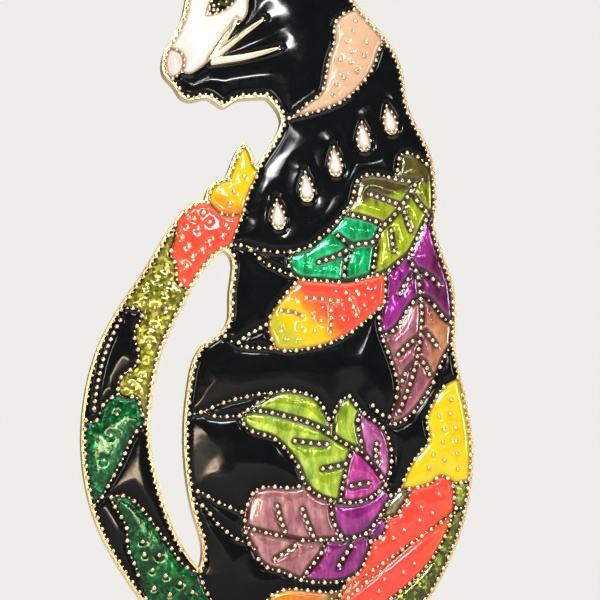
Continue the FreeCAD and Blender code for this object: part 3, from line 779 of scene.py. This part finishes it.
def gold(name, colour, worn, rough_low, rough_high, grain, grain_scale):
    """Gold plate over a cast or drawn surface, duller and browner in places."""
    material, tree, shader = new_material(name)
    patches = spread(tree, noise_node(tree, coordinates(tree, 0.22), 5.0), 0.35, 0.75, 0.0, 1.0)
    base = mix_colour(tree, patches, colour, worn)
    tree.links.new(base, shader.inputs["Base Color"])
    shader.inputs["Metallic"].default_value = 1.0
    fine = noise_node(tree, coordinates(tree, grain_scale), 5.0, 0.6)
    rough = spread(tree, fine, 0.3, 0.7, rough_low, rough_high)
    tree.links.new(rough, shader.inputs["Roughness"])
    normal = bump(tree, fine, 0.5, grain)
    tree.links.new(normal, shader.inputs["Normal"])
    return material


GOLD = (0.76, 0.54, 0.27)
GOLD_WORN = (0.60, 0.40, 0.18)
cast_gold = gold("cast_gold", GOLD, GOLD_WORN, 0.20, 0.40, 0.03, 3.0)
bead_gold = gold("bead_gold", (0.88, 0.73, 0.50), (0.66, 0.49, 0.28), 0.10, 0.22, 0.01, 6.0)
rib_gold = gold("rib_gold", (0.95, 0.82, 0.58), (0.82, 0.62, 0.34), 0.10, 0.24, 0.015, 2.0)
pin_gold = gold("pin_gold", (0.88, 0.66, 0.34), GOLD_WORN, 0.12, 0.28, 0.01, 5.0)

BLACK = (0.0020, 0.0022, 0.0025)
# Range of clear_of_row over which the painted groove shade fades out on the foil leaves.
LEAF_GROOVE_SHADE = (0.45, 0.95)
# In each look the dark colour is painted shade for the grooves along the bead rows, and also the
# dark tone of foil streaks and glitter flakes.
LOOKS = {
    "black": dict(colour=BLACK, light=(0.0032, 0.0036, 0.0038), dark_and_groove_shade=(0.0012, 0.0012, 0.0012),
                  gloss=0.14),
    "white": dict(colour=(0.50, 0.475, 0.44), light=(0.58, 0.56, 0.53), dark_and_groove_shade=(0.36, 0.28, 0.20)),
    "nose": dict(colour=(0.50, 0.40, 0.36), light=(0.60, 0.54, 0.50), dark_and_groove_shade=(0.30, 0.18, 0.12)),
    "iris": dict(colour=(0.25, 0.30, 0.03), light=(0.45, 0.46, 0.08), dark_and_groove_shade=(0.05, 0.06, 0.0),
                 glitter=0.3),
    "lining": dict(colour=(0.50, 0.30, 0.19), light=(0.58, 0.38, 0.26), dark_and_groove_shade=(0.2, 0.1, 0.05)),
    "tan": dict(colour=(0.46, 0.28, 0.17), light=(0.52, 0.34, 0.22), dark_and_groove_shade=(0.24, 0.15, 0.10)),
    "emerald": dict(colour=(0.0, 0.19, 0.045), light=(0.0, 0.40, 0.12), dark_and_groove_shade=(0.0, 0.014, 0.004),
                    foil=0.7, sparkle=(0.03, 0.88, 0.34), outline=LEAF_GROOVE_SHADE, coat=0.3),
    "lime": dict(colour=(0.14, 0.25, 0.006), light=(0.33, 0.46, 0.012), dark_and_groove_shade=(0.018, 0.024, 0.002),
                 foil=0.6, sparkle=(0.74, 0.86, 0.16), outline=LEAF_GROOVE_SHADE, coat=0.3),
    "shoulder_lime": dict(dark_and_groove_shade=(0.03, 0.026, 0.003), foil=0.9,
                          sparkle=None, direction=(-0.3, 1), outline=LEAF_GROOVE_SHADE, coat=0.3,
                          stops=[(2.0, (0.30, 0.38, 0.008)), (7.9, (0.25, 0.31, 0.008)),
                                 (8.9, (0.055, 0.040, 0.010)), (13.0, (0.080, 0.078, 0.006))]),
    "fire": dict(dark_and_groove_shade=(0.30, 0.10, 0.01), direction=(1, 0.9),
                 stops=[(-6.6, (0.36, 0.34, 0.01)), (-4.8, (0.52, 0.39, 0.0)),
                        (-3.2, (0.60, 0.37, 0.0)), (-2.2, (0.76, 0.19, 0.01)),
                        (-1.4, (0.78, 0.14, 0.012)), (-0.5, (0.80, 0.05, 0.02)),
                        (6.0, (0.76, 0.04, 0.025))]),
    "plum": dict(colour=(0.15, 0.008, 0.10), light=(0.24, 0.014, 0.17), dark_and_groove_shade=(0.018, 0.002, 0.012),
                 foil=0.5, sparkle=(0.64, 0.08, 0.44), outline=LEAF_GROOVE_SHADE, coat=0.3),
    "orchid": dict(colour=(0.24, 0.03, 0.15), light=(0.42, 0.11, 0.28), dark_and_groove_shade=(0.03, 0.003, 0.018),
                   foil=0.5, sparkle=(0.78, 0.30, 0.56), outline=LEAF_GROOVE_SHADE, coat=0.3),
    "side_plum": dict(dark_and_groove_shade=(0.022, 0.002, 0.016), foil=0.9,
                      sparkle=None, direction=(1, -0.2), outline=LEAF_GROOVE_SHADE, coat=0.3,
                      stops=[(7.0, (0.25, 0.013, 0.18)), (9.6, (0.21, 0.014, 0.15)),
                             (11.0, (0.105, 0.010, 0.055)), (13.0, (0.12, 0.014, 0.07))]),
    "mauve": dict(colour=(0.25, 0.075, 0.095), light=(0.34, 0.13, 0.14),
                  dark_and_groove_shade=(0.055, 0.014, 0.014), foil=0.5, sparkle=(0.70, 0.42, 0.38), outline=LEAF_GROOVE_SHADE,
                  coat=0.3),
    "side_mauve": dict(dark_and_groove_shade=(0.055, 0.014, 0.014), foil=0.9,
                       sparkle=None, outline=LEAF_GROOVE_SHADE, coat=0.3, direction=(1, 0),
                       stops=[(6.5, (0.27, 0.085, 0.12)), (10.6, (0.27, 0.085, 0.10)),
                              (11.6, (0.40, 0.15, 0.07)), (13.5, (0.42, 0.18, 0.08))]),
    "magenta": dict(colour=(0.24, 0.012, 0.14), light=(0.44, 0.03, 0.25), dark_and_groove_shade=(0.04, 0.004, 0.02),
                    foil=0.6, sparkle=(0.88, 0.22, 0.54), outline=LEAF_GROOVE_SHADE, coat=0.3),
    "yellow": dict(colour=(0.53, 0.385, 0.001), light=(0.60, 0.46, 0.004), dark_and_groove_shade=(0.30, 0.19, 0.0)),
    "tail_yellow": dict(dark_and_groove_shade=(0.26, 0.15, 0.0), direction=(0, 1),
                        stops=[(8.2, (0.76, 0.10, 0.01)), (9.4, (0.76, 0.22, 0.005)),
                               (10.4, (0.56, 0.38, 0.0)), (15.0, (0.52, 0.41, 0.0))]),
    "red": dict(colour=(0.78, 0.035, 0.02), light=(0.80, 0.075, 0.025), dark_and_groove_shade=(0.40, 0.05, 0.012)),
    "rump_red": dict(dark_and_groove_shade=(0.42, 0.05, 0.012), direction=(-1, 0.3),
                     stops=[(-21.5, (0.74, 0.22, 0.01)), (-19.6, (0.78, 0.08, 0.015)),
                            (-18.0, (0.80, 0.045, 0.025)), (3.0, (0.80, 0.045, 0.025))]),
    "green_dark": dict(colour=(0.0, 0.022, 0.005), light=(0.0, 0.065, 0.014),
                       dark_and_groove_shade=(0.0, 0.007, 0.002), glitter=0.25, sparkle=(0.01, 0.40, 0.10),
                       foil=0.3, coat=0.15, gloss=0.3),
    "tail_leaf": dict(colour=(0.0, 0.018, 0.004), light=(0.0, 0.07, 0.014), coat=0.15, gloss=0.3,
                      dark_and_groove_shade=(0.0, 0.004, 0.001), foil=0.55, sparkle=(0.0, 0.28, 0.06),
                      glitter=0.12),
    "tail_lime": dict(colour=(0.10, 0.10, 0.003), light=(0.22, 0.22, 0.008),
                      dark_and_groove_shade=(0.02, 0.018, 0.002), glitter=0.42, sparkle=(0.80, 0.74, 0.10),
                      foil=0.3, coat=0.3, gloss=0.4),
    "green_edge": dict(dark_and_groove_shade=(0.012, 0.014, 0.001), glitter=0.30,
                       sparkle=(0.52, 0.56, 0.05), foil=0.4, direction=(0, 1), coat=0.25,
                       stops=[(-35.0, (0.05, 0.065, 0.003)), (-24.0, (0.05, 0.075, 0.003)),
                              (-19.5, (0.14, 0.15, 0.006)), (-18.0, (0.20, 0.18, 0.008))]),
    "olive": dict(colour=(0.10, 0.08, 0.02), light=(0.17, 0.13, 0.04), dark_and_groove_shade=(0.025, 0.02, 0.006),
                  foil=0.6, sparkle=(0.55, 0.45, 0.22), outline=LEAF_GROOVE_SHADE),
    "violet": dict(colour=(0.11, 0.008, 0.09), light=(0.17, 0.014, 0.13), dark_and_groove_shade=(0.03, 0.003, 0.02),
                   foil=0.4, sparkle=(0.6, 0.1, 0.5)),
    "petal": dict(dark_and_groove_shade=(0.16, 0.06, 0.01), foil=0.25,
                  sparkle=(0.85, 0.6, 0.2), direction=(1, 0),
                  stops=[(-4.6, (0.64, 0.28, 0.01)), (-2.0, (0.76, 0.20, 0.01)),
                         (-0.6, (0.50, 0.14, 0.02)), (0.4, (0.15, 0.11, 0.02)),
                         (2.4, (0.11, 0.085, 0.02))]),
}

# node: (look, slot)
FILLS = {
    "enamel_face_white": ("white", "enamel_white"),
    "enamel_nose": ("nose", "enamel_nose"),
    "enamel_head_black": ("black", "enamel_black"),
    "enamel_eye_iris": ("iris", "enamel_iris"),
    "enamel_eye_black": ("black", "enamel_black"),
    "enamel_ear_linings": ("lining", "enamel_lining"),
    "enamel_neck_tan": ("tan", "enamel_tan"),
    "enamel_neck_black": ("black", "enamel_black"),
    "enamel_bib_drops": ("white", "enamel_white"),
    "enamel_shoulder_leaf_green": ("emerald", "enamel_emerald"),
    "enamel_shoulder_leaf_lime": ("shoulder_lime", "enamel_lime"),
    "enamel_chest_black": ("black", "enamel_black"),
    "enamel_middle_leaf": ("fire", "enamel_fire"),
    "enamel_side_leaf_purple": ("side_plum", "enamel_plum"),
    "enamel_side_leaf_mauve": ("side_mauve", "enamel_mauve"),
    "enamel_haunch_black": ("black", "enamel_black"),
    "enamel_leg_black": ("black", "enamel_black"),
    "enamel_haunch_leaf_lime": ("lime", "enamel_lime"),
    "enamel_haunch_leaf_purple": ("orchid", "enamel_plum"),
    "enamel_haunch_leaf_magenta": ("magenta", "enamel_magenta"),
    "enamel_low_leaf_mauve": ("mauve", "enamel_mauve"),
    "enamel_low_leaf_purple": ("plum", "enamel_plum"),
    "enamel_rump_yellow": ("yellow", "enamel_yellow"),
    "enamel_rump_red": ("rump_red", "enamel_red"),
    "enamel_rump_green": ("green_edge", "enamel_green_dark"),
    "enamel_rump_bronze": ("olive", "enamel_olive"),
    "enamel_rump_violet": ("violet", "enamel_violet"),
    "enamel_base_petal": ("petal", "enamel_petal"),
    "enamel_tail_yellow": ("tail_yellow", "enamel_yellow"),
    "enamel_tail_red": ("red", "enamel_red"),
    "enamel_tail_lime": ("tail_lime", "enamel_lime"),
    "enamel_tail_black_upper": ("black", "enamel_black"),
    "enamel_tail_green": ("green_dark", "enamel_green_dark"),
    "enamel_tail_black_lower": ("black", "enamel_black"),
    "enamel_tail_leaf_green": ("tail_leaf", "enamel_green_dark"),
}

materials = {name: enamel("enamel_" + name, **look) for name, look in LOOKS.items()}
for node, (look, slot_name) in FILLS.items():
    piece = fill_mesh(node)
    piece.data.materials.append(materials[look])
    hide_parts(node)
    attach(piece, "brooch")


LOOSE_RISE = 0.06
ROW_RISE = 0.42


def bead_mesh(name, chosen):
    """Cast beads: low domes that stand on the metal and show through the enamel."""
    around = 10
    levels = (-0.45, 0.0, 0.42, 0.78)
    verts, faces = [], []
    for (x, z), r, loose in chosen:
        start = len(verts)
        middle = enamel_height(x, z)[0] + LOOSE_RISE if loose else r * ROW_RISE
        for level in levels:
            angle = math.asin(level)
            wide = r * math.cos(angle)
            for k in range(around):
                turn = 2 * math.pi * k / around
                verts.append(place(x + wide * math.cos(turn), z + wide * math.sin(turn),
                                   middle + r * level))
        verts.append(place(x, z, middle + r))
        for ring in range(len(levels) - 1):
            for k in range(around):
                a = start + ring * around + k
                b = start + ring * around + (k + 1) % around
                faces.append((a, b, b + around, a + around))
        last = start + (len(levels) - 1) * around
        for k in range(around):
            faces.append((last + k, last + (k + 1) % around, start + len(levels) * around))
        faces.append(tuple(start + k for k in reversed(range(around))))
    obj = make_object(name, verts, faces)
    obj.data.materials.append(bead_gold)
    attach(obj, "brooch")
    return obj


def region(p):
    """Which of the three bead meshes holds a bead."""
    if p[1] > 17.8 and p[0] > -13.9 or p[1] > 20:
        return "head"
    tail_edge = -7.0 if p[1] > 5 else -9.4
    return "tail" if p[0] < tail_edge and p[1] > 5 or p[0] < -13.8 else "body"


for part in ("head", "body", "tail"):
    bead_mesh("beads_" + part, [b for b in beads if region(b[0]) == part])


# ---- rounded rim and whisker ribs -----------------------------------------------------------
def rail_mesh(name, lines, material):
    """Half-round metal rails along lines of (x, z, half width, height), open or closed."""
    profile = [(-1, -0.25), (-0.92, 0.35), (-0.62, 0.78), (0, 1), (0.62, 0.78), (0.92, 0.35),
               (1, -0.25)]
    verts, faces = [], []
    for points, closed in lines:
        start = len(verts)
        n = len(points)
        for i, (x, z, half, rise) in enumerate(points):
            a = points[i - 1] if i or closed else points[0]
            b = points[(i + 1) % n] if i < n - 1 or closed else points[-1]
            dx, dz = b[0] - a[0], b[1] - a[1]
            length = math.hypot(dx, dz) or 1.0
            nx, nz = dz / length, -dx / length
            for across, up in profile:
                verts.append(place(x + nx * half * across, z + nz * half * across, rise * up))
        size = len(profile)
        for i in range(n if closed else n - 1):
            a = start + i * size
            b = start + ((i + 1) % n) * size
            for k in range(size):
                j = (k + 1) % size
                faces.append((a + k, a + j, b + j, b + k))
        if not closed:
            faces.append(tuple(start + k for k in reversed(range(size))))
            faces.append(tuple(start + (n - 1) * size + k for k in range(size)))
    obj = make_object(name, verts, faces)
    obj.data.materials.append(material)
    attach(obj, "brooch")
    return obj


RIM_HALF = 0.08
RIM_RISE = 0.06
rim_lines = []
for loop in silhouette:
    even = resample(loop, 0.25, True)
    # the back outline has its face on its left as seen from behind, so inward is the normal
    inner = moved(even, outward(even), [RIM_HALF - 0.01] * len(even))
    test = inside([inner[0]], silhouette)[0]
    if not test:
        inner = moved(even, outward(even), [-(RIM_HALF - 0.01)] * len(even))
    rim_lines.append(([(x, z, RIM_HALF, RIM_RISE) for x, z in inner], True))
rail_mesh("rim_lip", rim_lines, cast_gold)

RIBS = [
    [(-10.9, 24.1), (-9.6, 26.2), (-8.0, 28.5)],
    [(-10.8, 24.2), (-7.9, 26.6), (-5.4, 28.5)],
    [(-10.9, 23.9), (-7.2, 24.5), (-3.8, 25.5)],
]
rib_lines = []
for points in RIBS:
    line = spline(points, 0.2)
    n = len(line) - 1
    rib_lines.append(([
        (x, z, (0.46 - 0.14 * i / n) * (1 - (i / n) ** 4) ** 0.5 + 0.05,
         0.54 * (1 - (i / n) ** 4) ** 0.5 + 0.05)
        for i, (x, z) in enumerate(line)], False))
rail_mesh("whisker_ribs", rib_lines, rib_gold)

# ---- metal that stays as the frame has it ---------------------------------------------------
KEPT = {
    "cast_body": cast_gold,
    "hinge_bracket": pin_gold,
    "catch_housing": pin_gold,
    "hinge_rivet": pin_gold,
    "pin_stem": pin_gold,
    "catch_rotor": pin_gold,
}
for name, material in KEPT.items():
    mesh = nodes[name].data
    mesh.materials.clear()
    mesh.materials.append(material)

# ---- floor, light and camera ----------------------------------------------------------------
FLOOR_HALF = 3.0
floor_z = cad_low.z
floor_mesh = bpy.data.meshes.new("floor")
floor_mesh.from_pydata(
    [(-FLOOR_HALF, -FLOOR_HALF, floor_z), (FLOOR_HALF, -FLOOR_HALF, floor_z),
     (FLOOR_HALF, FLOOR_HALF, floor_z), (-FLOOR_HALF, FLOOR_HALF, floor_z)],
    [], [(0, 1, 2, 3)])
floor = bpy.data.objects.new("floor", floor_mesh)
bpy.context.scene.collection.objects.link(floor)
floor_material, floor_tree, floor_shader = new_material("floor")
mottle = spread(floor_tree, noise_node(floor_tree, coordinates(floor_tree, 0.02)), 0.3, 0.7, 0, 1)
floor_tree.links.new(mix_colour(floor_tree, mottle, (0.78, 0.765, 0.74), (0.81, 0.795, 0.77)),
                     floor_shader.inputs["Base Color"])
floor_shader.inputs["Roughness"].default_value = 0.8
floor_mesh.materials.append(floor_material)

world = bpy.data.worlds.new("studio")
world.use_nodes = True
sky = world.node_tree
room = sky.nodes["Background"]
room.inputs[0].default_value = (0.92, 0.93, 1.0, 1)
room.inputs[1].default_value = 0.24
wall = sky.nodes.new("ShaderNodeBackground")
wall.inputs[0].default_value = (0.93, 0.92, 0.89, 1)
wall.inputs[1].default_value = 0.92
path = sky.nodes.new("ShaderNodeLightPath")
both = sky.nodes.new("ShaderNodeMixShader")
sky.links.new(path.outputs["Is Camera Ray"], both.inputs[0])
sky.links.new(room.outputs[0], both.inputs[1])
sky.links.new(wall.outputs[0], both.inputs[2])
sky.links.new(both.outputs[0], sky.nodes["World Output"].inputs[0])
bpy.context.scene.world = world


def softbox(name, position, target, size, power, colour=(1.0, 1.0, 1.0)):
    light = bpy.data.lights.new(name, "AREA")
    light.shape = "RECTANGLE"
    light.size, light.size_y = size
    light.energy = power
    light.color = colour
    obj = bpy.data.objects.new(name, light)
    obj.location = position
    obj.rotation_euler = (Vector(target) - Vector(position)).to_track_quat("-Z", "Y").to_euler()
    bpy.context.scene.collection.objects.link(obj)


softbox("key", (-0.16, -0.30, 0.22), (0, 0, 0), (0.03, 0.07), 0.62)
softbox("window", (-0.03, -0.40, 0.13), (0, 0, 0), (0.06, 0.015), 0.45)
softbox("fill", (0.32, -0.24, 0.05), (0, 0, 0), (0.03, 0.12), 0.36)
softbox("low", (-0.10, -0.30, -0.02), (0, 0, -0.02), (0.10, 0.012), 0.22, (1.0, 0.78, 0.52))
softbox("strip", (-0.08, -0.38, 0.16), (0, 0, 0), (0.012, 0.05), 0.14)
softbox("lamp", (0.10, -0.40, 0.07), (0, 0, 0), (0.016, 0.016), 0.06)
softbox("side", (-0.26, -0.26, 0.06), (0, 0, 0), (0.012, 0.07), 0.14)
softbox("back", (0.10, 0.32, 0.22), (0, 0, 0), (0.16, 0.16), 0.40)

overhead = bpy.data.lights.new("overhead", "SUN")
overhead.energy = 1.5
overhead.angle = 0.9
overhead_object = bpy.data.objects.new("overhead", overhead)
overhead_object.rotation_euler = (math.radians(25), math.radians(8), 0)
bpy.context.scene.collection.objects.link(overhead_object)

camera_data = bpy.data.cameras.new("camera")
camera = bpy.data.objects.new("camera", camera_data)
bpy.context.scene.collection.objects.link(camera)
bpy.context.scene.camera = camera
AZIMUTH, ELEVATION, DISTANCE = -8.0, -6.0, 0.300
WIDTH = 0.0595
target = Vector(place(-2.0, 0.0, 0.0))
azimuth, elevation = math.radians(AZIMUTH), math.radians(ELEVATION)
back = Vector((math.sin(azimuth) * math.cos(elevation),
               -math.cos(azimuth) * math.cos(elevation), math.sin(elevation)))
camera.location = target + back * DISTANCE
camera.rotation_euler = (-back).to_track_quat("-Z", "Y").to_euler()
camera_data.sensor_width = 36.0
camera_data.lens = 36.0 * DISTANCE / WIDTH
camera_data.clip_start = 0.01
camera_data.clip_end = 20.0

bpy.context.scene.view_settings.view_transform = "Standard"
